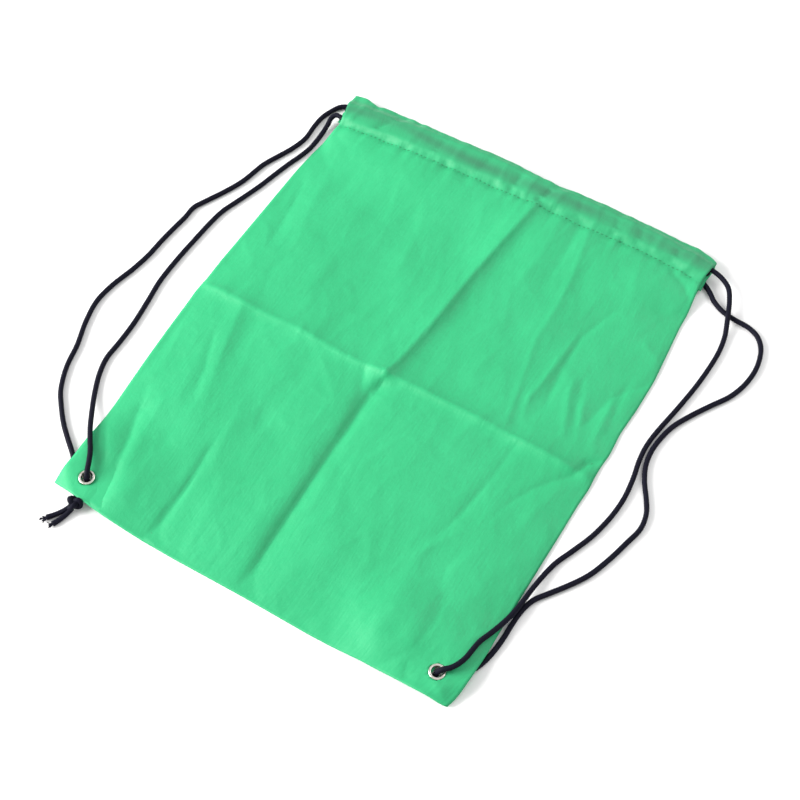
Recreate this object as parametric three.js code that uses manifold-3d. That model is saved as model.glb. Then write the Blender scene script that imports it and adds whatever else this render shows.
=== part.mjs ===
// A drawstring bag lying flat on its back: two cloth panels sewn together on three sides, a hem channel
// across the mouth of each, and two cords. Each cord runs through both channels, turns back at the far
// side of the mouth, and comes down its own side of the bag as two strands, which are the shoulder strap.
// The strands meet in a knot behind an eyelet in the bottom corner.
// Millimetres. X runs across the bag, +Y to the mouth, +Z up, and the origin is on the surface that the
// bag lies on, under the middle of its outline.
import * as THREE from "three";
import { mergeVertices } from "three/addons/utils/BufferGeometryUtils.js";
import Module from "manifold-3d";

const wasm = await Module();
wasm.setup();

// ---- Driving dimensions ----
const HALF_WIDTH = 170;
const HALF_HEIGHT = 215;
const CLOTH = 0.6; // stands for a 0.2 mm woven cloth
const GAP = 0.3; // between pieces that touch
const PLY_GAP = 0.6; // between the two panels at their seams
const CORD_R = 2;
const THREAD_R = 0.2;
const STITCH_Y = 187; // the seam that closes both hem channels
const SLIT_Y = 163; // the side seams end here and the channels' ends are open above
const FLOOR_TO_MOUTH_SEAM = 2.4; // how high the back panel's channel holds its seam
const CROWN = 6.2; // how far the front panel stands above the side seams
const SIDE_MOUTH = 9.9; // top of the front panel's seam at the sides of the mouth
const MOUTH_RISE = 5.6; // and how much higher it is in the middle
const SIDE_BOW = 6; // how far the sides bow outwards in their middle
const EYELET_LEFT = new THREE.Vector2(-148.6, -200.3);
const EYELET_RIGHT = new THREE.Vector2(153.4, -201.3);
const EYELET_HOLE_R = 4.2;
const EYELET_BARREL_R = 4.7;
const EYELET_R = 6.2;
const CORNER_LIFT = 6.4; // the corners ride on the cord ends under them
const LEFT_KNOT = new THREE.Vector3(-145, -222, 5.6);
const RIGHT_KNOT = new THREE.Vector3(114, -188, 4.4);
const RIGHT_TAIL_TIP = new THREE.Vector2(97, -199);
const RIGHT_KNOT_LIFT = 9;
const TAIL_LIFT = 4.9;
const NOTCH_X = 157; // the channels' inner walls end here, to let the cords turn back

// ---- Materials ----
const material = (color, roughness, metalness = 0) =>
  new THREE.MeshStandardMaterial({ color, roughness, metalness });
const clothMaterial = material(0x45d68e, 0.7);
const cordMaterial = material(0x1b1b2b, 0.85);
const threadMaterial = material(0x2fae6e, 0.7);
const metalMaterial = material(0xd8d6d0, 0.25, 1);

// ---- The cloth's shape ----
const smooth = (from, to, at) => THREE.MathUtils.smoothstep(at, Math.min(from, to), Math.max(from, to));
const fading = (near, far, distance) => 1 - smooth(near, far, distance);
const distanceTo = (point, x, y) => Math.hypot(x - point.x, y - point.y);

function distanceToTails(x, y) {
  const from = new THREE.Vector2(RIGHT_KNOT.x, RIGHT_KNOT.y);
  const along = RIGHT_TAIL_TIP.clone().sub(from);
  const share = new THREE.Vector2(x, y).sub(from).dot(along) / along.lengthSq();
  const nearest = from.addScaledVector(along, THREE.MathUtils.clamp(share, 0, 1));
  return distanceTo(nearest, x, y);
}

// How high both panels are lifted by what lies under the bottom corners.
function lift(x, y) {
  return Math.max(
    CORNER_LIFT * fading(18, 75, distanceTo(EYELET_LEFT, x, y)),
    CORNER_LIFT * fading(18, 75, distanceTo(EYELET_RIGHT, x, y)),
    RIGHT_KNOT_LIFT * fading(9, 34, distanceTo(RIGHT_KNOT, x, y)),
    TAIL_LIFT * fading(8, 30, distanceToTails(x, y)),
  );
}

// The bag's side at that height: share is -1 on the left side and 1 on the right.
function across(share, y) {
  const bowed = SIDE_BOW * smooth(-200, -60, y) * fading(60, 150, y);
  return share * (HALF_WIDTH + bowed);
}

const backRise = (y) => FLOOR_TO_MOUTH_SEAM * smooth(150, STITCH_Y, y);

// The underside of the back panel.
const backUnder = (share, y) => backRise(y) + lift(across(share, y), y);

// The upper side of the front panel.
function frontTop(share, y) {
  const x = across(share, y);
  const flat = backRise(y) + 2 * CLOTH + PLY_GAP;
  const pinch = Math.min(
    smooth(10, 32, distanceTo(EYELET_LEFT, x, y)),
    smooth(10, 32, distanceTo(EYELET_RIGHT, x, y)),
  );
  const closed = y < 0 ? 1 - (y / HALF_HEIGHT) ** 8 : 1;
  const body = flat + CROWN * (1 - share ** 6) * closed * pinch;
  const mouth = SIDE_MOUTH + MOUTH_RISE * (1 - share ** 2);
  const opened = smooth(110 + (SLIT_Y - 110) * share ** 4, STITCH_Y, y);
  return body * (1 - opened) + mouth * opened + lift(x, y);
}

// ---- Solids ----
function solidOf(geometry) {
  const plain = geometry.clone();
  plain.deleteAttribute("normal");
  plain.deleteAttribute("uv");
  const merged = mergeVertices(plain, 1e-3);
  const vertProperties = merged.attributes.position.array;
  const triVerts = new Uint32Array(merged.index.array);
  return new wasm.Manifold(new wasm.Mesh({ numProp: 3, vertProperties, triVerts }));
}

function geometryOf(solid) {
  const mesh = solid.getMesh();
  const geometry = new THREE.BufferGeometry();
  geometry.setAttribute("position", new THREE.BufferAttribute(mesh.vertProperties, 3));
  geometry.setIndex(new THREE.BufferAttribute(mesh.triVerts, 1));
  geometry.computeVertexNormals();
  return geometry;
}

function named(name, geometry, itsMaterial) {
  const mesh = new THREE.Mesh(geometry, itsMaterial);
  mesh.name = name;
  return mesh;
}

// ---- Panels ----
const X_LINES = [-170, -162, -154, -146, -138, -125, -105, -80, -40, 0, 40, 70, 85, 95, 104, 112, 120, 130,
  140, 148, 156, 163, 170];
const Y_LINES = [-215, -207, -198, -190, -181, -170, -155, -135, -100, -50, 0, 60, 110, 140, 163, 175];
// The hem channel in section: how far from the seam, and how far above the panel's outer face.
const CHANNEL_OUTSIDE = [[0, 0], [4, -1.6], [9, -2.4], [20, -2.4], [25.5, -1.3], [28, 0.6], [25.5, 2.5],
  [20, 3.6], [9, 3.6], [4, 2.8], [0, 1.2]];
const CHANNEL_INSIDE = [[2.6, 0.6], [5, -1.1], [9.2, -1.8], [19.8, -1.8], [24.9, -0.8], [27.3, 0.6],
  [24.9, 2], [19.8, 3], [9.2, 3], [5, 2.3]];

// The section is bowed while it is cut, because the cutter drops corners that lie in a straight line.
const bow = (y) => y * y * 0.001;

// A panel as a strip of its section, extruded across the bag and then laid to its shape.
// inward is 1 where the hem turns up, on the back panel, and -1 where it turns down.
function panel(height, inward) {
  const corner = (y, up) => new THREE.Vector2(y, inward * up + bow(y));
  const atSeam = ([from, up]) => corner(STITCH_Y + from, up);
  const outer = Y_LINES.map((y) => corner(y, 0));
  const inner = Y_LINES.map((y) => corner(y, CLOTH)).reverse();
  const section = new THREE.Shape([...outer, ...CHANNEL_OUTSIDE.map(atSeam), ...inner]);
  const inside = CHANNEL_INSIDE.map(atSeam);
  section.holes.push(new THREE.Path(inward > 0 ? inside : inside.reverse())); // always counter-clockwise
  const steps = X_LINES.length - 1;
  const strip = new THREE.ExtrudeGeometry(section, { depth: steps, steps, bevelEnabled: false });
  const points = strip.attributes.position;
  for (let i = 0; i < points.count; i++) {
    const share = X_LINES[Math.round(points.getZ(i))] / HALF_WIDTH;
    const y = points.getX(i);
    const up = points.getY(i) - bow(y);
    points.setXYZ(i, across(share, y), y, height(share, Math.min(y, STITCH_Y)) + up);
  }
  return solidOf(strip);
}

function cylinderAt(centre, radius) {
  const hole = new THREE.CylinderGeometry(radius, radius, 40, 24);
  hole.rotateX(Math.PI / 2);
  hole.translate(centre.x, centre.y, 0);
  return solidOf(hole);
}

// What is cut from the inner wall of a channel at one side of the mouth.
function notchAt(side, low, high) {
  const length = 30;
  const notch = new THREE.BoxGeometry(length, 25.4, high - low);
  notch.translate(side * (NOTCH_X + length / 2), STITCH_Y + 15, (low + high) / 2);
  return solidOf(notch);
}

function cutPanel(height, inward, low, high) {
  let made = panel(height, inward);
  for (const centre of [EYELET_LEFT, EYELET_RIGHT])
    made = made.subtract(cylinderAt(centre, EYELET_BARREL_R + GAP));
  for (const side of [-1, 1]) made = made.subtract(notchAt(side, low, high));
  return geometryOf(made);
}

const frontPanel = () => named("front_panel", cutPanel(frontTop, -1, 5, 8.4), clothMaterial);
const backPanel = () => named("back_panel", cutPanel(backUnder, 1, 3.9, 6.4), clothMaterial);

// ---- Tubes ----
// A smooth line through its points, cut into steps at the points and between them, however far apart.
class Route extends THREE.CatmullRomCurve3 {
  constructor(points) {
    super(points.map((p) => new THREE.Vector3(...p)), false, "centripetal");
  }
  getPointAt(u, target) {
    return this.getPoint(u, target);
  }
  getTangentAt(u, target) {
    return this.getTangent(u, target);
  }
  getSpacedPoints(divisions) {
    return this.getPoints(divisions);
  }
}

function tube(points, radius, sides, stepsEach) {
  const corners = [];
  for (let i = 0; i < sides; i++) {
    const turn = (2 * Math.PI * (i + 0.5)) / sides;
    corners.push(new THREE.Vector2(radius * Math.cos(turn), radius * Math.sin(turn)));
  }
  const steps = (points.length - 1) * stepsEach;
  const extrudePath = new Route(points);
  return new THREE.ExtrudeGeometry(new THREE.Shape(corners), { steps, extrudePath });
}

const cordPiece = (name, points, stepsEach = 1) => named(name, tube(points, CORD_R, 8, stepsEach), cordMaterial);

// ---- Threads ----
const middleOfLayers = (share, y) => (backUnder(share, y) + frontTop(share, y)) / 2;
const threadAt = (name, points) => named(name, tube(points, THREAD_R, 4, 1), threadMaterial);

function sideThread(name, side) {
  const share = (side * 163) / HALF_WIDTH;
  const rows = Y_LINES.filter((y) => y >= -181 && y <= SLIT_Y);
  return threadAt(name, rows.map((y) => [across(share, y), y, middleOfLayers(share, y)]));
}

function bottomThread() {
  const y = -207;
  const columns = X_LINES.filter((x) => Math.abs(x) < 130);
  return threadAt("bottom_seam_thread", columns.map((x) => [x, y, middleOfLayers(x / HALF_WIDTH, y)]));
}

function casingThread(name, height, above) {
  const columns = X_LINES.filter((x) => Math.abs(x) <= 163);
  return threadAt(name, columns.map((x) => [x, STITCH_Y, height(x / HALF_WIDTH, STITCH_Y) + above]));
}

// ---- Eyelets ----
const ring = (profile) =>
  new THREE.LatheGeometry([...profile, profile[0]].map(([r, z]) => new THREE.Vector2(r, z)), 20);

// The flanged barrel, from the front, with its end rolled out over the washer behind.
function eyelet(name, centre) {
  const clothTop = CORNER_LIFT + 2 * CLOTH + PLY_GAP;
  const flange = clothTop + GAP;
  const top = flange + 0.9;
  const rollTop = CORNER_LIFT - 1.2;
  const rollEnd = rollTop - 0.3;
  const barrel = ring([
    [EYELET_HOLE_R, rollEnd + 0.2], [EYELET_HOLE_R + 0.2, rollEnd], [EYELET_R - 0.8, rollEnd],
    [EYELET_R - 0.6, rollTop], [EYELET_BARREL_R, rollTop], [EYELET_BARREL_R, flange], [EYELET_R, flange],
    [EYELET_R, flange + 0.4], [EYELET_R - 0.5, top], [EYELET_HOLE_R + 0.5, top], [EYELET_HOLE_R, top - 0.5],
  ]);
  barrel.rotateX(Math.PI / 2);
  const mesh = named(name, barrel, metalMaterial);
  mesh.position.set(centre.x, centre.y, 0);
  return mesh;
}

function washer(name, centre) {
  const top = CORNER_LIFT - GAP;
  const inside = EYELET_BARREL_R + GAP;
  const plate = ring([[inside, top - 0.6], [EYELET_R, top - 0.6], [EYELET_R, top - 0.2],
    [EYELET_R - 0.3, top], [inside, top]]);
  plate.rotateX(Math.PI / 2);
  const mesh = named(name, plate, metalMaterial);
  mesh.position.set(centre.x, centre.y, 0);
  return mesh;
}

// ---- Knots, each with its two cut tails ----
function knot(name, centre, radii, tails) {
  const ball = new THREE.SphereGeometry(1, 12, 8);
  ball.scale(...radii);
  ball.translate(centre.x, centre.y, centre.z);
  let made = solidOf(ball);
  for (const tail of tails) made = made.add(solidOf(tube(tail, CORD_R, 8, 1)));
  return named(name, geometryOf(made), cordMaterial);
}

const leftKnot = () =>
  knot("left_knot", LEFT_KNOT, [6.3, 5.8, 5.4], [
    [[-146, -225, 4.4], [-150, -231, 2.4], [-153.5, -236, 2.2], [-158, -241, 2.2]],
    [[-143.5, -225.5, 4.4], [-145.5, -232, 2.4], [-147, -238, 2.2], [-150, -244, 2.2]],
  ]);
const rightKnot = () =>
  knot("right_knot", RIGHT_KNOT, [6.6, 5.8, 4.2], [
    [[111.5, -188.5, 3.8], [106.5, -191, 2.4], [101, -194, 2.2], [96, -197, 2.2]],
    [[112.5, -190, 3.8], [110, -195, 2.4], [106.5, -199, 2.2], [101, -202, 2.2]],
  ]);

// ---- Cords: every route is the middle of the cord ----
const IN_FRONT_CHANNEL = -0.6; // a cord in the front channel, from the seam's height
const frontChannel = (y, columns) =>
  columns.map((x) => [x, y, frontTop(x / HALF_WIDTH, STITCH_Y) + IN_FRONT_CHANNEL]);
const LEFT_CASING = [
  [-175, 153, 2.2], [-174.5, 163, 2.2], [-174.5, 172, 2.6], [-174.8, 181, 4], [-175, 188, 6.2],
  [-172, 194, 8.6],
  ...frontChannel(196, [-165, -150, -120, -80, -40, 0, 40, 80, 120, 145, 157]),
  [163.5, 197.5, 9.1], [167, 200, 7.6], [168, 202.3, 6.2], [167, 204.6, 4.8], [163.5, 207, 3.5], [157, 208, 3],
  [130, 208, 3], [65, 208, 3], [0, 208, 3], [-65, 208, 3], [-130, 208, 3], [-158, 208, 3],
  [-168, 208, 3], [-176, 204.5, 2.6], [-181, 196, 2.2], [-184, 186, 2.2], [-184.5, 175, 2.2],
  [-184, 160, 2.2],
];
const RIGHT_CASING = [
  [205, 160, 2.7], [202, 169, 4.6], [199, 177, 6.5], [194.5, 189, 6.6], [188.5, 199.5, 7.2],
  [180, 206, 8.3],
  ...frontChannel(208, [170, 158, 140, 105, 60, 20, -20, -60, -105, -145, -157]),
  [-163.5, 206.5, 9.1], [-167, 204.5, 7.6], [-168, 202.5, 6.2], [-167, 200.5, 4.8],
  [-163.5, 198, 3.5], [-157, 197, 3], [-130, 197, 3], [-65, 197, 3], [0, 197, 3], [65, 197, 3], [130, 197, 3],
  [158, 197, 3], [168, 196.5, 3], [176, 192, 2.4], [184, 185, 2.2], [194, 180, 2.2], [204, 178, 2.2],
];
const LEFT_FRONT_STRAND = [
  [-175.2, 152.4, 2.2], [-177.5, 142, 2.2], [-181, 131, 2.2], [-185, 116, 2.2], [-189, 100, 2.2],
  [-193, 87, 2.2], [-197, 75, 2.2], [-201.5, 61, 2.2], [-203.5, 47, 2.2], [-205, 25, 2.2], [-206, 6, 2.2],
  [-206, -22, 2.2], [-203, -45, 2.2], [-200.5, -68, 2.2], [-200, -87, 2.2], [-200, -105, 2.2],
  [-196, -120, 2.2], [-191, -131.5, 2.2],
];
const LEFT_BACK_STRAND = [
  [-184, 159.2, 2.2], [-187.5, 146, 2.2], [-193.5, 132, 2.2], [-199, 119, 2.2], [-204.5, 95, 2.2],
  [-211.5, 78, 2.2], [-218.5, 64, 2.2], [-224, 52, 2.2], [-224.5, 40, 2.2], [-226, 27, 2.2],
  [-227.5, 11, 2.2], [-228.5, -7, 2.2], [-231.5, -25, 2.2], [-236.5, -46, 2.2], [-238, -65, 2.2],
  [-234, -85, 2.2], [-227, -106, 2.2], [-222, -127, 2.2], [-213.5, -146, 2.2], [-205, -157, 2.2],
];
const LEFT_FRONT_END = [
  [-190.5, -132.4, 2.2], [-185.7, -141.5, 3.2], [-179, -152.5, 5.4], [-172.3, -163, 7.9], [-168, -169, 9.3],
  [-164.2, -174, 10.4], [-158.5, -181.5, 11.5], [-154.6, -188, 12.1], [-152.4, -192.3, 12.3],
  [-150.6, -196.2, 12], [-149.5, -198.5, 10.2], [-148.8, -199.9, 7.2], [-148.2, -201.2, 4.2],
  [-147.3, -203.3, 2.75], [-146.3, -205.8, 2.3], [-145.5, -208.6, 2.2], [-144.8, -215, 2.2],
];
const LEFT_BACK_END = [
  [-204.3, -157.7, 2.2], [-194, -169, 2.2], [-183, -178.5, 2.2], [-172.5, -187, 2.2], [-163, -196, 2.2],
  [-155.5, -205, 2.2], [-151, -210, 2.2], [-149.3, -214.6, 2.2],
];
const RIGHT_FRONT_STRAND = [
  [205.3, 159.2, 2.6], [207, 148, 2.2], [207.5, 136, 2.2], [206.5, 114, 2.2], [204.5, 96, 2.2],
  [201.5, 76, 2.2], [198.8, 60, 2.2], [197.2, 48, 2.2], [196.7, 37, 2.2], [198, 24, 2.2], [200.5, 11, 2.2],
  [202.5, -8, 2.2], [201.5, -26, 2.2], [197, -48, 2.2], [190, -67, 2.2],
];
const RIGHT_BACK_STRAND = [
  [204.8, 177.8, 2.2], [218, 176.5, 2.2], [227, 172.5, 2.2], [233.5, 165, 2.2], [237.5, 154, 2.2],
  [239, 141, 2.2], [237, 125, 2.2], [232, 111, 2.2], [224, 98, 2.2], [214, 81, 2.2], [206, 64, 2.2],
  [202.6, 48, 2.2], [202, 37, 2.2], [204, 24, 2.2], [209.5, 11, 2.2], [217.5, -2, 2.2], [222.5, -12, 2.2],
  [224, -25, 2.2], [221, -41, 2.2], [215.5, -59, 2.2], [209, -77, 2.2], [200.5, -93, 2.2],
];
const RIGHT_FRONT_END = [
  [189.5, -67.8, 2.2], [184, -82, 2.2], [181, -97, 2.9], [179.4, -111, 4.2], [178.5, -124, 5.6],
  [177, -136, 6.6], [174, -148.4, 7.8], [171, -158, 9.1], [168, -167, 10.2], [167, -174.5, 11],
  [166, -183.3, 11.9], [163, -191.5, 12.3], [160, -195.8, 12.3], [157.3, -198, 12], [154.9, -200.1, 10.2],
  [153.6, -201.1, 7.2], [153, -202.2, 4.2], [151.8, -204, 2.75], [150.2, -205.5, 2.35], [146.4, -206.6, 2.2],
  [137, -202.5, 2.2], [128.5, -195.3, 2.2], [122.3, -190.8, 2.2],
];
const RIGHT_BACK_END = [
  [200, -93.8, 2.2], [190.5, -107, 2.2], [184.3, -116, 2.2], [181, -127, 2.2], [180, -141, 2.2],
  [180, -153, 2.2], [179, -165, 2.2], [176.8, -176, 2.2], [172.5, -185.5, 2.2], [165, -190.5, 2.2],
  [155, -189.5, 2.2], [143, -187, 2.2], [131, -186, 2.2], [122, -185.8, 2.2],
];

// ---- Assembly ----
const bag = new THREE.Group();
bag.add(
  frontPanel(),
  backPanel(),
  sideThread("left_seam_thread", -1),
  sideThread("right_seam_thread", 1),
  bottomThread(),
  casingThread("front_casing_thread", frontTop, GAP + THREAD_R + 0.05),
  casingThread("back_casing_thread", backUnder, 2 * CLOTH + GAP + THREAD_R + 0.05),
  eyelet("left_eyelet", EYELET_LEFT),
  eyelet("right_eyelet", EYELET_RIGHT),
  washer("left_eyelet_washer", EYELET_LEFT),
  washer("right_eyelet_washer", EYELET_RIGHT),
  cordPiece("left_cord_casing_run", LEFT_CASING),
  cordPiece("right_cord_casing_run", RIGHT_CASING),
  cordPiece("left_cord_front_strand", LEFT_FRONT_STRAND, 2),
  cordPiece("left_cord_back_strand", LEFT_BACK_STRAND, 2),
  cordPiece("right_cord_front_strand", RIGHT_FRONT_STRAND, 2),
  cordPiece("right_cord_back_strand", RIGHT_BACK_STRAND, 2),
  cordPiece("left_cord_front_end", LEFT_FRONT_END),
  cordPiece("left_cord_back_end", LEFT_BACK_END),
  cordPiece("right_cord_front_end", RIGHT_FRONT_END),
  cordPiece("right_cord_back_end", RIGHT_BACK_END),
  leftKnot(),
  rightKnot(),
);
export default bag;
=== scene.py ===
"""A green drawstring bag laid flat, front up, with its cords lying in loose curves at both sides.

Lengths are in millimetres and become metres when a mesh is made. X runs across the bag, +Y to its mouth
and +Z up, as in the frame.
"""

import math

import bpy
import numpy as np
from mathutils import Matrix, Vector, noise


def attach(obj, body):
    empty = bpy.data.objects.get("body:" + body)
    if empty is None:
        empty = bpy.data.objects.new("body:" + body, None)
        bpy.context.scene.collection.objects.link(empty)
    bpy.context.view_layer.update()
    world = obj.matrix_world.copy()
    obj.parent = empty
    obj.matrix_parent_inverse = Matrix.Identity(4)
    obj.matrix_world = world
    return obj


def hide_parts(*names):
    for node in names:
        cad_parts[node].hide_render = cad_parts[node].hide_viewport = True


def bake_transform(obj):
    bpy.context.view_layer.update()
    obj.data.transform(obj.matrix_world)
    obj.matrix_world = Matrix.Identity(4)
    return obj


MM = 0.001
# Cloth
CLOTH = 0.35
STEP = 1.75  # between rows and columns of the cloth's mesh
HALF_WIDTH = 170.0
BOTTOM_Y = -220.0
CLOSED_Y = 216.0  # how far below the middle the front has come down to the back
BODY_LENGTH = 404.0  # roughly from the bottom edge to the channels' seams: it sets the number of rows
MEASURED_COLUMN = 90  # the column of the front's mesh that its length is measured along
SIDE_MOUTH = 8.6  # height of the front panel's seam at the sides of the mouth
MOUTH_RISE = 4.6  # and how much higher it is in the middle
BACK_RISE = 2.4
BACK_SEAM_Y = 187.0
BACK_CHANNEL = 26.0
BACK_EDGE_R = 2.7
CHANNEL_SHADE = 0.3  # painted shade all over the channel, standing in for the dark cords seen through the thin cloth
CROWN = 4.2
CORNER_LIFT = 6.0
SIDE_SEAM_SHARE = 0.958  # of the way from the middle to the bag's side
BOTTOM_SEAM_IN = 9.0  # from the bottom edge
# Cord
CORD_R = 2.0
CORD_SIDES = 16
CORD_STEP = 1.0
BRAID_STRANDS = 4
BRAID_PITCH = 9.0
# Eyelets
EYELETS = {"left": (-148.6, -200.3), "right": (153.4, -201.3)}
EYELET_R = 6.2
EYELET_HOLE_R = 4.2
BARREL_R = 4.7
FRONT_HOLE_R = 5.9  # the hole in the front panel, under the rim
BACK_HOLE_R = BARREL_R + 0.2
# Knots
LEFT_KNOT = (-145.0, -222.0, 5.2)
RIGHT_KNOT = (114.0, -188.0, 3.7)

# The bag's outline: (y, x) up each side.
LEFT_SIDE = [(-222, -168.5), (-205, -169.5), (-190, -168.5), (-170, -169.5), (-150, -169.5), (-120, -171.5),
             (-90, -173.5), (-60, -175), (-30, -175.8), (-14, -176.5), (-4, -175.5), (20, -175.7), (40, -175),
             (65, -174.3), (95, -173.5), (125, -172.7), (150, -170.7), (165, -168.1), (175, -166),
             (185, -164.8), (195, -166), (205, -169), (222, -170)]
RIGHT_SIDE = [(-222, 170.5), (-214, 173.5), (-205, 175.5), (-190, 176.5), (-170, 177), (-150, 176),
              (-120, 176), (-90, 176), (-60, 176.3), (-30, 176.2), (-14, 177), (-4, 176), (6, 175.8),
              (20, 176.8), (40, 175.2), (65, 176.5), (95, 176.5), (125, 173.8), (150, 171.5), (165, 171.3),
              (175, 170), (185, 168.9), (195, 168.2), (205, 170.2), (222, 171)]
BOTTOM_SIDE = [(-177, -213.5), (-150, -217), (-120, -219.7), (-60, -220.7), (0, -220.3), (60, -221),
               (100, -220), (145, -220.3), (165, -219.6), (177, -217)]
# The seam of the front channel and the mouth's edge: (x, y) from left to right.
STITCH_LINE = [(-172, 183), (-150, 184.5), (-133, 186), (-105, 187), (-79, 187.5), (-45, 188.5), (-13, 189),
               (8, 189.5), (22, 190.5), (54, 191), (75, 192), (98, 193.5), (128, 194), (150, 193.5),
               (172, 192)]
MOUTH_LINE = [(-172, 216), (-166, 218.5), (-158, 217.5), (-148, 214.5), (-138, 216.5), (-122, 217),
              (-105, 216), (-81, 215.5), (-60, 215.8), (-34, 217.2), (-15, 217), (0, 215.8), (12, 214.6),
              (24, 215), (38, 216.5), (61, 217.8), (80, 218), (106, 218.3), (130, 218.7), (148, 219.8),
              (160, 218.6), (168, 215.4), (172, 213)]

# Folds in the front panel: (points, height at each, width of the left flank, width of the right flank),
# where left and right are seen along the line from its first point. A negative height is a valley.
FOLDS = [
    # the bag was packed folded in four: these are its creases
    ([(26, 214), (20, 186), (13, 145), (8, 109), (4, 51), (-3, -9)], [1.6, 3.0, 3.9, 4.0, 3.8, 3.0], 4.0, 16),
    ([(-174, -7), (-132, -8), (-107, -8), (-84, -7), (-44, -10), (-20, -10), (-3, -9)],
     [2.4, 2.9, 2.3, 2.1, 2.5, 2.8, 3.0], 8, 4.5),
    ([(-3, -9), (26, -7), (67, -7), (107, -7), (136, -7), (163, -8), (176, -6)],
     [3.0, 3.2, 3.5, 3.5, 3.2, 2.8, 1.6], 9, 4.5),
    ([(-3, -9), (-7, -30), (-6, -58), (-5, -121), (-4, -168), (-2, -211), (1, -220)],
     [-1.6, -4.0, -4.3, -4.2, -4.0, -3.0, -1.5], 10, 4.4),
    # lower left
    ([(-86, -118), (-85, -135), (-82, -166), (-83, -196), (-82, -219)], [0, -1.4, -1.9, -1.9, -1.4], 5, 2.6),
    ([(-134, -14), (-127, -45), (-120, -73), (-101, -124)], [1.4, 1.6, 1.4, 0], 7, 9),
    ([(-142, -30), (-138, -48), (-127, -77), (-121, -108)], [0, -1.3, -1.3, 0], 4, 4.5),
    ([(-21, -12), (-12, -33), (-8, -58)], [-1.4, -1.1, 0], 5, 5),
    ([(-70, -8), (-38, -35), (-15, -62)], [0.9, 1.0, 0], 16, 9),
    ([(-56, -16), (-58, -60), (-64, -110)], [0.3, -0.9, 0], 11, 13),
    ([(-84, 2), (-82, -8), (-80, -20)], [0, 0.9, 0], 3, 3),
    ([(-160, -100), (-152, -128), (-141, -160), (-135, -184), (-129, -218)],
     [0, -1.6, -3.0, -3.2, -2.0], 4.5, 9),
    ([(-168, -150), (-158, -164), (-149, -178), (-143, -190)], [0, -1.6, -1.8, 0], 3, 5),
    ([(-150, -118), (-147, -126), (-149, -134)], [0, -0.8, 0], 3, 3),
    # upper right
    ([(69, 191), (77, 146), (80, 114), (80, 81), (93, 19), (97, 1)], [1.2, 1.3, 1.2, 1.0, 1.2, 1.0], 4, 4.5),
    ([(60, 188), (62, 150), (58, 110)], [-0.9, -0.7, 0], 6, 6),
    ([(44, 186), (46, 150), (40, 100)], [0.7, 0.8, 0], 7, 7),
    ([(106, 100), (104, 63), (101, 30), (105, 12)], [0.5, 1.6, 1.4, 0.5], 3.5, 3),
    ([(126, 140), (119, 130), (109, 99), (110, 63), (114, 36), (112, 14)],
     [0, -0.8, -1.3, -1.3, -1.0, 0], 3, 4),
    ([(122, 70), (125, 51), (138, 16)], [0, 1.3, 0.7], 3, 3),
    ([(127, 74), (129, 61), (141, 26)], [0, -1.0, -0.5], 3, 2.5),
    ([(136, 62), (140, 44), (150, 14)], [0, 1.0, 0.6], 3, 2.5),
    ([(154, 70), (158, 54), (161, 20)], [0, 1.1, 0.6], 3, 2.5),
    ([(160, 92), (160, 72), (166, 36)], [0, -0.9, -0.5], 3, 3),
    ([(173, 88), (163, 76), (154, 62), (149, 36), (146, 18)], [-0.8, -1.3, -1.3, -1.0, 0], 4, 4),
    ([(150, 128), (158, 118), (172, 112)], [0, 1.1, 0.8], 7, 7),
    ([(134, 195), (146, 189), (159, 182), (168, 174)], [-0.8, -1.7, -1.7, -0.9], 5, 6),
    ([(118, 188), (122, 165), (132, 140)], [0.9, 0.9, 0], 7, 7),
    ([(162, -8), (165, 3), (176, 12)], [-2.2, -2.6, -1.4], 3, 3),
    # lower right
    ([(112, -12), (109, -54), (105, -84), (100, -109)], [-0.5, -1.2, -1.3, 0], 4, 3),
    ([(161, -12), (144, -32), (133, -54), (124, -80)], [-1.2, -1.1, -0.8, 0], 3.5, 3),
    ([(158, -28), (150, -60), (148, -95)], [0.8, 0.9, 0], 7, 6),
    ([(112, -98), (103, -112), (94, -129), (95, -150)], [0.5, 1.2, 1.1, 0], 6, 6),
    ([(122, -105), (118, -128), (124, -150)], [0, -0.9, 0], 6, 6),
    ([(60, -120), (74, -150), (80, -176)], [0, -0.8, 0], 9, 9),
    ([(40, -60), (44, -110), (42, -170)], [0, 0.6, 0], 12, 14),
    ([(152, -206), (160, -211), (168, -216)], [0.8, 1.2, 0.8], 4, 4),
    ([(176, -150), (166, -160), (158, -176)], [1.2, 1.2, 0], 5, 6),
    ([(136, -216), (132, -206), (136, -196)], [-1.0, -0.6, 0], 4, 4),
    # upper left
    ([(-160, 119), (-152, 72), (-148, 34)], [-0.9, -1.2, 0], 5, 6),
    ([(-150, 160), (-142, 106), (-129, 55)], [0.4, 1.0, 0], 9, 9),
    ([(-172, 178), (-150, 168), (-128, 150)], [-1.0, -0.8, 0], 6, 7),
    ([(-128, 62), (-134, 30), (-128, 8)], [0, -0.8, -0.4], 7, 7),
    ([(-28, 160), (-30, 110), (-20, 60)], [0, 0.7, 0], 12, 12),
]
# Band of painted shade across the front channel, its bulge's shaded side with the cords seen through: (x, y)
# from left to right.
SHADE_BAND = [(-172, 198), (-160, 201), (-146, 203), (-118, 207), (-100, 204), (-50, 202), (-8, 203),
             (30, 206), (66, 207), (105, 208), (158, 208), (172, 206)]
# Puckers across the front channel, where the cords bunch it: (x at the seam, x at the mouth, height).
PUCKERS = [(-160, -152, 1.3), (-140, -118, -1.9), (-104, -98, 0.8), (-84, -74, -0.9), (-62, -60, 0.8),
           (-40, -34, -0.7), (-16, -20, 1.2), (-6, -4, -1.6), (6, 8, 1.4), (17, 27, -2.4), (30, 36, 1.3),
           (55, 50, -1.2), (70, 66, 0.8), (87, 84, -1.4), (97, 96, 0.7), (108, 105, -1.3), (124, 122, 0.9),
           (138, 142, -1.3), (152, 155, 1.3)]

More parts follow.
